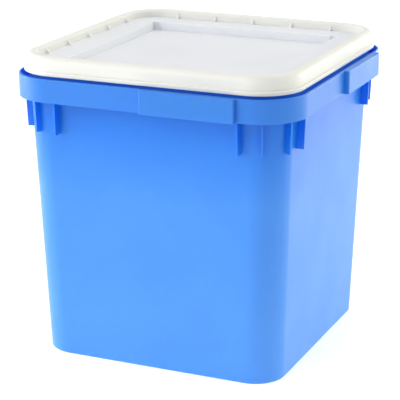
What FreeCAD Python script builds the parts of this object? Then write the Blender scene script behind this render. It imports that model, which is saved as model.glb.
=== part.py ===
import FreeCAD, Part
import math
import os

# Square moulded pail with a shut press-on lid. Millimetres, +Z up, origin at the
# middle of the base. The front faces -Y. Every outline is a square with rounded
# corners, given by its half width and its corner radius.

# ---- driving sizes: whole pack
height = 323.0             # floor to the top of the lid
base_half = 133.0          # half width of the foot
draft = 0.0352              # widening of each side per mm of height

# ---- driving sizes: pail body
body_radius = 33.0         # corner radius of the wall
foot_edge = 1.2            # bevel where the wall meets the base
foot_width = 9.0           # width of the ring the pail stands on
foot_depth = 4.0           # how far the base panel is set up inside that ring
wall = 2.2                 # moulded wall of the rim parts

# ---- driving sizes: rim band
rim_reach = 12.6           # how far the band's face stands out from the wall
band_radius = 48.6         # corner radius of its outer face
band_height = 24.0
band_edge = 1.1            # rounding of the band's top edge
web_drop = 9.8             # flat web that joins band and wall, below the band's top
raised_step = 5.6          # how far the raised sections stand out
raised_end = 7.0           # each stops this far short of where the corner starts
raised_edge = 1.6          # rounding of its upright edges

# ---- driving sizes: ribs under the band
rib_thickness = 2.0
rib_drop = 34.4            # how far they run down below the band
rib_inset = 8.0            # the two ribs of each side, in from where the corners start
rib_depth = 8.5            # how far they stand out from the wall
corner_rib_depth = 6.2     # and the ribs of the corners
corner_rib_angle = 22.5    # the two ribs of each corner, from the side faces

# ---- driving sizes: lid
lid_show = 18.8            # skirt of the shut lid that shows above the band
lid_radius = 45.3          # corner radius at the foot of its skirt
lid_wall = 2.0
bead_out = 2.3             # bead round the foot of the skirt
bead_height = 3.6
crown_width = 10.8         # raised crown round the lid
crown_lean = 0.4           # lean of its inner face
crown_inner_round = 3.6
crown_flat = 0.4           # flat along its top; the outer round takes the rest of the width
ledge_drop = 9.0           # flat ledge inside the crown, below its top
ledge_width = 29.0
well_depth = 9.0           # sunk panel that takes the next pail
well_radius = 6.0
well_lean = 0.4
pocket_radius = 5.0        # round relief in each corner of the sunk panel
pocket_inset = 2.5
gusset_count = 5           # small wedges between ledge and crown, along each side
gusset_end = 13.0          # the outer ones stand this far short of the corners
gusset_depth = 5.5
gusset_height = 5.0
gusset_thickness = 2.0

# ---- fits
groove = 2.8               # inside of the band to the foot of the lid's skirt
foot_clearance = 2.2       # top of the band to the foot of the lid's skirt
side_clearance = 0.8       # inside of the pail's rim to the lid's channel
channel_bevel = 3.0        # bevel in the top outer corner of the channel, clear of the rim
gap = 0.3                  # lid panel and ledge above the closed pack

# ---- sizes that follow
lid_top = height
lid_foot = lid_top - lid_show
band_top = lid_foot - foot_clearance
band_bottom = band_top - band_height
web_top = band_top - web_drop
rib_bottom = band_bottom - rib_drop
ledge_top = lid_top - ledge_drop
panel_top = ledge_top - well_depth
band_half = base_half + draft * web_top + rim_reach
corner_start = band_half - band_radius
lid_half = band_half - wall - groove
corner_centre = lid_half - lid_radius
crown_outer_half = lid_half - bead_out
crown_inner_half = crown_outer_half - crown_width
crown_outer_round = crown_width - crown_lean - crown_inner_round - crown_flat
well_half = crown_inner_half - ledge_width
channel_inner = crown_inner_half + lid_wall + 0.2
channel_outer = crown_outer_half - lid_wall - 0.2
channel_roof = lid_top - lid_wall - 0.6
rim_inner = channel_inner + side_clearance
rim_outer = channel_outer - channel_bevel - gap


def body_half(z):
    """Half width of the drafted wall at height z."""
    return base_half + draft * z


def rounded_square(half, radius, z):
    """Closed wire of a square with rounded corners, at height z."""
    c = half - radius
    edges = []
    for k in range(4):
        a = math.radians(90 * k)
        turn = FreeCAD.Rotation(FreeCAD.Vector(0, 0, 1), 90 * k)
        p1 = turn.multVec(FreeCAD.Vector(half, -c, z))
        p2 = turn.multVec(FreeCAD.Vector(half, c, z))
        p4 = turn.multVec(FreeCAD.Vector(c, half, z))
        p3 = turn.multVec(FreeCAD.Vector(c, c, z))
        d = FreeCAD.Vector(math.cos(a + math.pi / 4), math.sin(a + math.pi / 4), 0)
        edges.append(Part.makeLine(p1, p2))
        edges.append(Part.Arc(p2, p3 + d * radius, p4).toShape())
    return Part.Wire(edges)


def block(half, radius, z0, z1):
    """Upright block with a rounded square plan."""
    face = Part.Face(rounded_square(half, radius, z0))
    return face.extrude(FreeCAD.Vector(0, 0, z1 - z0))


def tapered(half0, z0, half1, z1, radius):
    """Block with evenly leaning sides and the same corner radius all the way up."""
    block4 = Part.makeWedge(-half0, z0, -half0, -half1, -half1, half0, z1, half0, half1, half1)
    block4.rotate(FreeCAD.Vector(0, 0, 0), FreeCAD.Vector(1, 0, 0), 90)
    upright = [e for e in block4.Edges if e.BoundBox.ZLength > (z1 - z0) / 2]
    return block4.makeFillet(radius, upright)


def ring(outer_half, outer_radius, inner_half, z0, z1):
    """Upright wall of even thickness that runs round a rounded square."""
    inner_radius = outer_radius - (outer_half - inner_half)
    outer = block(outer_half, outer_radius, z0, z1)
    return outer.cut(block(inner_half, inner_radius, z0 - 1, z1 + 1))


def on_side(shape, k):
    """The shape built for the front side, turned to side k."""
    copy = shape.copy()
    copy.rotate(FreeCAD.Vector(0, 0, 0), FreeCAD.Vector(0, 0, 1), 90 * k)
    return copy


def swept_round(profile):
    """Solid that carries a closed section (half width, height) round the rounded square."""
    run = 2 * corner_centre
    parts = []
    for k in range(4):
        side = profile.copy()
        side.translate(FreeCAD.Vector(0, -corner_centre, 0))
        straight = side.extrude(FreeCAD.Vector(0, run, 0))
        centre = FreeCAD.Vector(corner_centre, corner_centre, 0)
        bend = profile.copy()
        bend.translate(FreeCAD.Vector(0, corner_centre, 0))
        bend = bend.revolve(centre, FreeCAD.Vector(0, 0, 1), 90)
        parts.append(on_side(straight, k))
        parts.append(on_side(bend, k))
    return parts[0].fuse(parts[1:]).removeSplitter()


def make_body():
    """Drafted wall with a bevelled foot edge and a base panel set up inside a foot ring."""
    top = web_top
    body = tapered(base_half, 0, body_half(top), top, body_radius)
    low = [e for e in body.Edges if e.BoundBox.ZMax < 0.01]
    body = body.makeChamfer(foot_edge, low)
    inside = base_half - foot_width
    slope = foot_depth * 0.25
    pocket = tapered(inside, -0.01, inside - slope, foot_depth, body_radius - foot_width)
    return body.cut(pocket)


def make_raised():
    """Raised hollow section of the band on the front side, with a closed top."""
    y_out = -(band_half + raised_step)
    deep = raised_step + wall / 2
    length = corner_start - raised_end
    shell = Part.makeBox(length, deep, band_height, FreeCAD.Vector(0, y_out, band_bottom))
    upright = [e for e in shell.Edges
               if abs(e.BoundBox.ZLength - band_height) < 0.01 and e.BoundBox.YMin < y_out + 0.01]
    shell = shell.makeFillet(raised_edge, upright)
    hollow = Part.makeBox(length - 2 * wall, raised_step - wall, band_height - wall,
                          FreeCAD.Vector(wall, y_out + wall, band_bottom))
    return shell.cut(hollow)


def make_band():
    """Band round the rim with a raised section on each side, hung on a flat web, open underneath."""
    band = ring(band_half, band_radius, band_half - wall, band_bottom, band_top)
    for k in range(4):
        band = band.fuse(on_side(make_raised(), k))
    band = band.removeSplitter()
    land = [f for f in band.Faces if f.BoundBox.ZMin > band_top - 0.01]
    band = band.makeFillet(band_edge, land[0].OuterWire.Edges)
    web = block(band_half - wall / 2, band_radius - wall / 2, web_top - wall, web_top)
    return band.fuse(web)


def make_rib(root0, root1, depth):
    """Upright rib in the XZ plane: root line and a tip line set out by depth."""
    z0 = rib_bottom
    z1 = web_top - wall / 2
    sink = 1.5
    pts = [(root0 - sink, z0), (root0 + depth, z0), (root1 + depth, z1), (root1 - sink, z1)]
    pts = [FreeCAD.Vector(x, -rib_thickness / 2, z) for x, z in pts]
    face = Part.Face(Part.makePolygon(pts + pts[:1]))
    return face.extrude(FreeCAD.Vector(0, rib_thickness, 0))


def make_ribs():
    """Two ribs on each side and two on each corner."""
    z0 = rib_bottom
    z1 = web_top - wall / 2
    ribs = []
    for k in range(4):
        for s in (-1, 1):
            rib = make_rib(body_half(z0), body_half(z1), rib_depth)
            rib.translate(FreeCAD.Vector(0, s * (corner_start - rib_inset), 0))
            ribs.append(on_side(rib, k))
        for a in (corner_rib_angle, 90 - corner_rib_angle):
            centre = body_half(z0) - body_radius
            shift = body_half(z1) - body_radius - centre
            lean = shift * (math.cos(math.radians(a)) + math.sin(math.radians(a)))
            rib = make_rib(body_radius, body_radius + lean, corner_rib_depth)
            rib.rotate(FreeCAD.Vector(0, 0, 0), FreeCAD.Vector(0, 0, 1), a)
            rib.translate(FreeCAD.Vector(centre, centre, 0))
            ribs.append(on_side(rib, k))
    return ribs


def corner_posts(radius, z0, z1):
    """Four upright cylinders on the corners of the sunk panel."""
    place = well_half - pocket_inset
    posts = []
    for sx in (-1, 1):
        for sy in (-1, 1):
            foot = FreeCAD.Vector(sx * place, sy * place, z0)
            posts.append(Part.makeCylinder(radius, z1 - z0, foot))
    return posts


def make_rim():
    """Top of the closed pack: follows the lid's underside, with the rim the lid hooks over."""
    low = web_top - wall
    top = ledge_top - lid_wall - gap
    seat = block(rim_outer, rim_outer - corner_centre, low, top)
    lip = ring(rim_outer, rim_outer - corner_centre, rim_inner, top - 1, channel_roof)
    sunk = well_half + lid_wall + gap
    floor = panel_top - lid_wall - gap
    well = block(sunk, well_radius + lid_wall + gap, floor, top + 1)
    reliefs = corner_posts(pocket_radius + lid_wall + gap, floor, top + 1)
    return seat.cut([well] + reliefs).fuse(lip)


def make_pail():
    """The whole pail in one piece."""
    pail = make_body().fuse(make_rim()).fuse(make_band())
    return pail.fuse(make_ribs()).removeSplitter()


def lid_section():
    """Section of the lid's hollow crown, from the ledge out to the foot of the skirt."""
    shoulder = lid_top - crown_outer_round
    inner_top = lid_top - crown_inner_round
    crest0 = crown_inner_half + crown_lean + crown_inner_round
    crest1 = crown_outer_half - crown_outer_round
    start = crown_inner_half - 1
    bead_top = lid_foot + bead_height
    slant = math.sqrt(0.5)
    outer = FreeCAD.Vector(crest1 + crown_outer_round * slant, 0, shoulder + crown_outer_round * slant)
    inner = FreeCAD.Vector(crest0 - crown_inner_round * slant, 0, inner_top + crown_inner_round * slant)

    def v(x, z):
        return FreeCAD.Vector(x, 0, z)

    e = []
    e.append(Part.makeLine(v(start, ledge_top), v(crown_inner_half, ledge_top)))
    e.append(Part.makeLine(v(crown_inner_half, ledge_top), v(crown_inner_half + crown_lean, inner_top)))
    e.append(Part.Arc(v(crown_inner_half + crown_lean, inner_top), inner, v(crest0, lid_top)).toShape())
    e.append(Part.makeLine(v(crest0, lid_top), v(crest1, lid_top)))
    e.append(Part.Arc(v(crest1, lid_top), outer, v(crown_outer_half, shoulder)).toShape())
    e.append(Part.makeLine(v(crown_outer_half, shoulder), v(crown_outer_half, bead_top + 0.6)))
    e.append(Part.makeLine(v(crown_outer_half, bead_top + 0.6), v(lid_half, bead_top)))
    e.append(Part.makeLine(v(lid_half, bead_top), v(lid_half, lid_foot)))
    path = [(lid_half, lid_foot), (channel_outer, lid_foot), (channel_outer, channel_roof - channel_bevel),
            (channel_outer - channel_bevel, channel_roof), (channel_inner, channel_roof),
            (channel_inner, ledge_top - lid_wall), (start, ledge_top - lid_wall), (start, ledge_top)]
    for p, q in zip(path[:-1], path[1:]):
        e.append(Part.makeLine(v(*p), v(*q)))
    return Part.Face(Part.Wire(e))


def make_gusset():
    """Small wedge between the ledge and the crown, on the side that faces +X."""
    x1 = crown_inner_half + 0.3
    x0 = crown_inner_half - gusset_depth
    z = ledge_top - 0.3
    pts = [(x0, z), (x1, z), (x1, ledge_top + gusset_height)]
    pts = [FreeCAD.Vector(x, -gusset_thickness / 2, h) for x, h in pts]
    face = Part.Face(Part.makePolygon(pts + pts[:1]))
    return face.extrude(FreeCAD.Vector(0, gusset_thickness, 0))


def make_lid():
    """The whole lid in one piece."""
    under = panel_top - lid_wall
    inside = crown_inner_half - 0.5
    ledge = block(inside, inside - corner_centre, ledge_top - lid_wall, ledge_top)
    tray = block(well_half + lid_wall, well_radius + lid_wall, under, ledge_top)
    pieces = [ledge, tray] + corner_posts(pocket_radius + lid_wall, under, ledge_top)
    reach = corner_centre - gusset_end
    for k in range(4):
        for n in range(gusset_count):
            gusset = make_gusset()
            gusset.translate(FreeCAD.Vector(0, reach * (2 * n / (gusset_count - 1) - 1), 0))
            pieces.append(on_side(gusset, k))
    lid = swept_round(lid_section()).fuse(pieces)
    well = tapered(well_half - well_lean, panel_top, well_half, ledge_top + 0.01, well_radius)
    lid = lid.cut([well] + corner_posts(pocket_radius, panel_top, ledge_top + 1))
    return lid.removeSplitter()


os.makedirs("parts", exist_ok=True)
for name, shape in (("pail", make_pail()), ("lid", make_lid())):
    shape.exportStep("parts/%s.step" % name)
    box = shape.BoundBox
    print(name, len(shape.Solids), "solid", shape.isValid(), round(shape.Volume / 1000.0, 1), "cm3",
          round(box.XLength, 2), round(box.YLength, 2), round(box.ZMin, 2), round(box.ZMax, 2))
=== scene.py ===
"""Studio scene of a square moulded pail with its lid shut on it.

Both pieces are the frame's own mouldings, copied, merged and given soft edges, so no
shape is added here. The rest is plastic, floor, light and camera. Lengths are metres.
"""
import math

import bmesh
import bpy
from mathutils import Matrix, Vector


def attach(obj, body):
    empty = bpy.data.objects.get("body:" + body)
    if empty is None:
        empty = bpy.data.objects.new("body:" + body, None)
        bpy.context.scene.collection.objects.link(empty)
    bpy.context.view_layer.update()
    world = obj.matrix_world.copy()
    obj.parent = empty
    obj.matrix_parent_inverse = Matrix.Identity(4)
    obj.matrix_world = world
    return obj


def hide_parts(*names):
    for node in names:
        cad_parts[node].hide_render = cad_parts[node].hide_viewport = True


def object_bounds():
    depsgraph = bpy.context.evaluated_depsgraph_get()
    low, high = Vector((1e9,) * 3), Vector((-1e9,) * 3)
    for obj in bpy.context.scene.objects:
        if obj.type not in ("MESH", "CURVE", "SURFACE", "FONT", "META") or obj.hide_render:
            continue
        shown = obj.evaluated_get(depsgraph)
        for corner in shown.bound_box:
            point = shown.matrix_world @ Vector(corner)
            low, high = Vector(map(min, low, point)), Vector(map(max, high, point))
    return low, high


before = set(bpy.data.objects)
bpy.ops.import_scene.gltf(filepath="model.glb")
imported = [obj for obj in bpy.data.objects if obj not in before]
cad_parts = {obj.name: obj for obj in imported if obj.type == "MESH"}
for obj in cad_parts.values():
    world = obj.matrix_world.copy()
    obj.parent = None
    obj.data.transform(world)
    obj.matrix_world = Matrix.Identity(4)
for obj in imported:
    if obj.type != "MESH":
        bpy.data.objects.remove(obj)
cad_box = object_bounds()


# ---- sizes: some given, the rest worked out from the frame

def reach(node):
    """Distance from the middle to the outermost point of a node along x."""
    return max(corner[0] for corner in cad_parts[node].bound_box)


GROOVE = 0.0028         # gap between the lid's bead and the band
CROWN = 0.0131          # from the outside of the bead to the inside of the crown
CORNER_RADIUS = 0.0444  # puts a corner's middle between those of the lid and of the band
WEB_DEPTH = 0.0308      # of the groove's floor below the top of the lid
EDGE = 0.0006           # softness of the moulded edges
MERGE = 0.0001          # points nearer than this become one
FLAT = 0.004            # facets within this angle, in radians, become one face
SHARP = 40              # edges over this angle, in degrees, are rounded

# Where a shade starts and ends as it crosses an edge, measured from that edge.
WEB_FADE = -0.0032, 0.0008
BAND_FADE = -0.0001, 0.0004
CROWN_FADE = -0.0038, 0.0012

HEIGHT = cad_box[1][2]
LID_HALF = reach("lid")
BAND_INSIDE = LID_HALF + GROOVE
CROWN_INSIDE = LID_HALF - CROWN
CORNER_CENTRE = LID_HALF - CORNER_RADIUS
WEB_TOP = HEIGHT - WEB_DEPTH


# ---- shader helper

class Wire:
    """A shader socket that is worked with like a number."""

    def __init__(self, graph, socket):
        self.graph, self.socket = graph, socket

    def _math(self, operation, *terms):
        return self.graph.node("ShaderNodeMath", {"operation": operation}, terms)

    def __add__(self, other):
        return self._math("ADD", self, other)

    def __sub__(self, other):
        return self._math("SUBTRACT", self, other)

    def __rsub__(self, other):
        return self._math("SUBTRACT", other, self)

    def __mul__(self, other):
        return self._math("MULTIPLY", self, other)

    def __truediv__(self, other):
        return self._math("DIVIDE", self, other)

    def __rtruediv__(self, other):
        return self._math("DIVIDE", other, self)

    def __pow__(self, power):
        return self._math("POWER", self, power)

    def __abs__(self):
        return self._math("ABSOLUTE", self)

    def at_least(self, limit):
        """This wire, or the limit where that is larger."""
        return self._math("MAXIMUM", self, limit)

    __radd__, __rmul__ = __add__, __mul__


class Graph:
    """The node tree of one material."""

    def __init__(self, name):
        self.material = bpy.data.materials.new(name)
        self.material.use_nodes = True
        self.tree = self.material.node_tree
        self.shader = self.tree.nodes["Principled BSDF"]

    def node(self, kind, settings=None, inputs=None, output=0):
        """Adds a node: settings first, then the values or links of its sockets."""
        made = self.tree.nodes.new(kind)
        for key, value in (settings or {}).items():
            if key == "stops":
                ramp = made.color_ramp.elements
                while len(ramp) < len(value):
                    ramp.new(0.5)
                for stop, (place, colour) in zip(ramp, value):
                    stop.position, stop.color = place, colour
            else:
                setattr(made, key, value)
        pairs = inputs.items() if isinstance(inputs, dict) else enumerate(inputs or [])
        for key, value in pairs:
            self.feed(made.inputs[key], value)
        return Wire(self, made.outputs[output])

    def feed(self, socket, value):
        """Sets a socket to a value, or links a wire to it."""
        if isinstance(value, Wire):
            self.tree.links.new(value.socket, socket)
        else:
            socket.default_value = value

    def surface(self, **values):
        """Feeds the Principled shader; a name's underscores stand for spaces."""
        for key, value in values.items():
            self.feed(self.shader.inputs[key.replace("_", " ")], value)

    def place(self):
        """Object coordinates."""
        return self.node("ShaderNodeTexCoord", output="Object")

    def along(self, axis):
        """Object coordinate along one axis: 0 is x, 1 is y and 2 is height."""
        return self.node("ShaderNodeSeparateXYZ", None, [self.place()], axis)

    def ring(self):
        """Half the width of the rounded square through the place.

        Past the corner centre along x and y, the square root of the sum of the squares is
        the distance to the corner's middle, and the corner centre is added back to it.
        """
        x, y = (abs(self.along(axis)) - CORNER_CENTRE for axis in (0, 1))
        x, y = x.at_least(0.0), y.at_least(0.0)
        return (x * x + y * y) ** 0.5 + CORNER_CENTRE

    def noise(self, scale, detail=3.0, roughness=0.5):
        """Cloudy variation between 0 and 1, scale in spots per metre."""
        values = {"Vector": self.place(), "Scale": scale, "Detail": detail, "Roughness": roughness}
        return self.node("ShaderNodeTexNoise", None, values)

    def grain(self, strength):
        """Very fine moulded grain, as a bump on the normal."""
        values = {"Strength": strength, "Distance": 0.0002, "Height": self.noise(900.0, 2.0)}
        return self.node("ShaderNodeBump", None, values)

    def ramp(self, wire, stops):
        """Colour that goes through the stops as the wire goes from 0 to 1."""
        return self.node("ShaderNodeValToRGB", {"stops": stops}, [wire])

    def mix(self, factor, first, second):
        """Colour that goes from first to second as the factor goes from 0 to 1."""
        values = {"Factor": factor, 6: first, 7: second}
        return self.node("ShaderNodeMix", {"data_type": "RGBA"}, values, 2)

    def span(self, wire, low, high):
        """0 below low, 1 above high, smooth between."""
        values = {"Value": wire, "From Min": low, "From Max": high}
        return self.node("ShaderNodeMapRange", {"interpolation_type": "SMOOTHSTEP"}, values)

    def past(self, wire, edge, fade):
        """0 before an edge and 1 past it."""
        return self.span(wire, edge + fade[0], edge + fade[1])


# ---- materials

# Blue of the pail, by share of the height, with painted light and shade in it: lighter low down is
# painted light from the floor, deepest just under the band is painted shade from the band above,
# and a little duller on the band, whose foot lies between the last two.
PAIL_BLUE_PAINTED_LIGHT_AND_SHADE = (
    (0.155, (0.076, 0.315, 0.85, 1)),
    (0.568, (0.056, 0.280, 0.82, 1)),
    (0.815, (0.007, 0.190, 0.75, 1)),
    (0.8597, (0.005, 0.186, 0.74, 1)),
    (0.8617, (0.030, 0.214, 0.72, 1)),
)
DEEP_BLUE = (0.0, 0.10, 0.60, 1)
# painted light: the groove glows as if light came through the band
PAINTED_GROOVE_GLOW = (0.004, 0.020, 0.10, 1)
DARK = (0, 0, 0, 1)

# White of the lid, each as the two ends of its clouds: ivory on the skirt and crown, and on the
# ledge and panel a little bluer, where the blue is painted light as if through the thin plastic.
CROWN_IVORY = (0.77, 0.77, 0.715, 1), (0.80, 0.80, 0.745, 1)
PANEL_WHITE_PAINTED_BLUE = (0.75, 0.765, 0.80, 1), (0.78, 0.795, 0.83, 1)

PAPER_WHITE = (0.86, 0.86, 0.86, 1), (0.90, 0.90, 0.90, 1)
PAPER_GLOW = 0.40


def pail_plastic():
    """Blue moulded plastic: satin, faintly cloudy, with light scattered below the surface.
    Its colour by height holds painted shade under the band and painted light low down.

    A weak painted glow fills the groove between lid and band: painted light for light that comes
    through the band.
    """
    g = Graph("pail plastic")
    clouds = g.span(g.noise(14.0, 4.0), 0.35, 0.65)
    # painted light and shade: the blue changes with height, lighter low down and deepest under the
    # band
    blue_and_shade = g.ramp(g.along(2) / HEIGHT, PAIL_BLUE_PAINTED_LIGHT_AND_SHADE)
    g.surface(Base_Color=g.mix(clouds * 0.06, blue_and_shade, DEEP_BLUE), Roughness=0.30 + clouds * 0.05)
    g.surface(Normal=g.grain(0.05), IOR=1.42)
    g.surface(Subsurface_Weight=0.35, Subsurface_Radius=(0.1, 0.3, 1.0), Subsurface_Scale=0.012)
    # painted light: a glow only above the groove's floor and inside the band
    above_web = g.past(g.along(2), WEB_TOP, WEB_FADE)
    inside_band = 1 - g.past(g.ring(), BAND_INSIDE, BAND_FADE)
    glow = g.mix(above_web * inside_band, DARK, PAINTED_GROOVE_GLOW)
    g.surface(Emission_Color=glow, Emission_Strength=1.0)
    return g.material


def lid_plastic():
    """White moulded plastic: satin, faintly cloudy and a little translucent; the bluer ledge and
    panel are painted blue light.
    """
    g = Graph("lid plastic")
    clouds = g.span(g.noise(11.0, 4.0), 0.35, 0.65)
    on_crown = g.past(g.ring(), CROWN_INSIDE, CROWN_FADE)
    # inside the crown the white carries painted blue light
    colour = g.mix(on_crown, g.mix(clouds, *PANEL_WHITE_PAINTED_BLUE), g.mix(clouds, *CROWN_IVORY))
    g.surface(Base_Color=colour, Roughness=0.48 + clouds * 0.06, Normal=g.grain(0.04), IOR=1.45)
    g.surface(Subsurface_Weight=0.4, Subsurface_Radius=(1.0, 1.0, 1.0), Subsurface_Scale=0.004)
    return g.material


def floor_paper():
    """Matt white studio paper, with a glow of its own so that it stays white."""
    g = Graph("floor paper")
    g.surface(Base_Color=g.mix(g.noise(60.0, 4.0), *PAPER_WHITE), Roughness=0.9)
    g.surface(Emission_Color=(1, 1, 1, 1), Emission_Strength=PAPER_GLOW)
    return g.material


# ---- pieces

def moulding(node, material):
    """Merged copy of a node's mesh, with its flat facets joined into whole faces."""
    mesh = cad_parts[node].data.copy()
    work = bmesh.new()
    work.from_mesh(mesh)
    bmesh.ops.remove_doubles(work, verts=work.verts, dist=MERGE)
    bmesh.ops.dissolve_limit(work, angle_limit=FLAT, verts=work.verts, edges=work.edges)
    work.to_mesh(mesh)
    work.free()
    mesh.materials.clear()
    mesh.materials.append(material)
    mesh.shade_smooth()
    piece = bpy.data.objects.new(node + "_moulding", mesh)
    bpy.context.scene.collection.objects.link(piece)
    return piece


def soften(piece):
    """Rounds the sharp edges, and keeps the flats even beside them."""
    round_edges = piece.modifiers.new("soft edges", "BEVEL")
    round_edges.width, round_edges.segments = EDGE, 2
    round_edges.limit_method, round_edges.angle_limit = "ANGLE", math.radians(SHARP)
    piece.modifiers.new("even normals", "WEIGHTED_NORMAL")


def place_moulding(node, material):
    """Softened moulding that stands for a node and rides the whole pail."""
    piece = moulding(node, material)
    soften(piece)
    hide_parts(node)
    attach(piece, "root")


# ---- studio

MIDDLE = 0.15         # height that most lights are aimed at
NEAR_FLOOR = 0.05     # height that the low lights are aimed at
LIGHT_DISTANCE = 2.2
AIM_LEFT = 0.00505    # the camera looks this far left of the axis at that middle height
AIM_BELOW = 0.0047    # and this far below it


def make_floor(half=12.0):
    """Wide square floor of pale paper."""
    mesh = bpy.data.meshes.new("floor")
    corners = [(-half, -half, 0), (half, -half, 0), (half, half, 0), (-half, half, 0)]
    mesh.from_pydata(corners, [], [(0, 1, 2, 3)])
    mesh.materials.append(floor_paper())
    floor = bpy.data.objects.new("floor", mesh)
    bpy.context.scene.collection.objects.link(floor)


def direction(azimuth, elevation):
    """Unit vector; azimuth in degrees from the front towards the right, elevation above level."""
    a, e = math.radians(azimuth), math.radians(elevation)
    return Vector((math.sin(a) * math.cos(e), -math.cos(a) * math.cos(e), math.sin(e)))


def softbox(name, azimuth, elevation, width, height, watts, aim=MIDDLE, tint=(1, 1, 1)):
    """Rectangular soft light, a light distance away from the height it is aimed at."""
    light = bpy.data.lights.new(name, "AREA")
    light.shape, light.size, light.size_y = "RECTANGLE", width, height
    light.energy, light.color = watts, tint
    lamp = bpy.data.objects.new(name, light)
    bpy.context.scene.collection.objects.link(lamp)
    way = direction(azimuth, elevation)
    lamp.location = Vector((0, 0, aim)) + way * LIGHT_DISTANCE
    lamp.rotation_euler = way.to_track_quat("Z", "Y").to_euler()


def make_lights():
    """Light from the left, above and behind; none faces the near corner, which stays deep."""
    softbox("key left", -46, 25, 1.0, 1.4, 17)
    softbox("low left", -78, 7, 1.0, 0.5, 20, aim=NEAR_FLOOR)
    softbox("overhead front", -10, 60, 1.6, 1.2, 13)
    softbox("overhead back", 180, 55, 1.6, 1.2, 8)
    softbox("right back", 125, 25, 1.8, 1.4, 21, tint=(1, 1, 0.88))
    softbox("low back", 165, 7, 1.0, 0.5, 13, aim=NEAR_FLOOR)


def make_world(strength=0.45):
    """Even white light from all round."""
    world = bpy.data.worlds.new("studio")
    bpy.context.scene.world = world
    world.use_nodes = True
    background = world.node_tree.nodes["Background"]
    background.inputs["Color"].default_value = (1, 1, 1, 1)
    background.inputs["Strength"].default_value = strength


def make_camera(azimuth=23.82, elevation=17.19, roll=-0.16, distance=1.7259, lens=143.04):
    """Camera to the right of the front, looking a little down."""
    back = direction(azimuth, elevation)
    across = direction(azimuth + 90, 0)
    up = back.cross(across)
    aim = Vector((0, 0, MIDDLE)) - across * AIM_LEFT - up * AIM_BELOW
    place = aim + back * distance
    tip = Matrix.Rotation(math.radians(roll), 3, back)
    camera = bpy.data.cameras.new("camera")
    camera.lens, camera.sensor_width, camera.clip_start = lens, 36, 0.01
    holder = bpy.data.objects.new("camera", camera)
    bpy.context.scene.collection.objects.link(holder)
    turn = Matrix((tip @ across, tip @ up, back)).transposed().to_4x4()
    holder.matrix_world = Matrix.Translation(place) @ turn
    bpy.context.scene.camera = holder


place_moulding("pail", pail_plastic())
place_moulding("lid", lid_plastic())
make_floor()
make_world()
make_lights()
make_camera()
bpy.context.scene.view_settings.view_transform = "Standard"
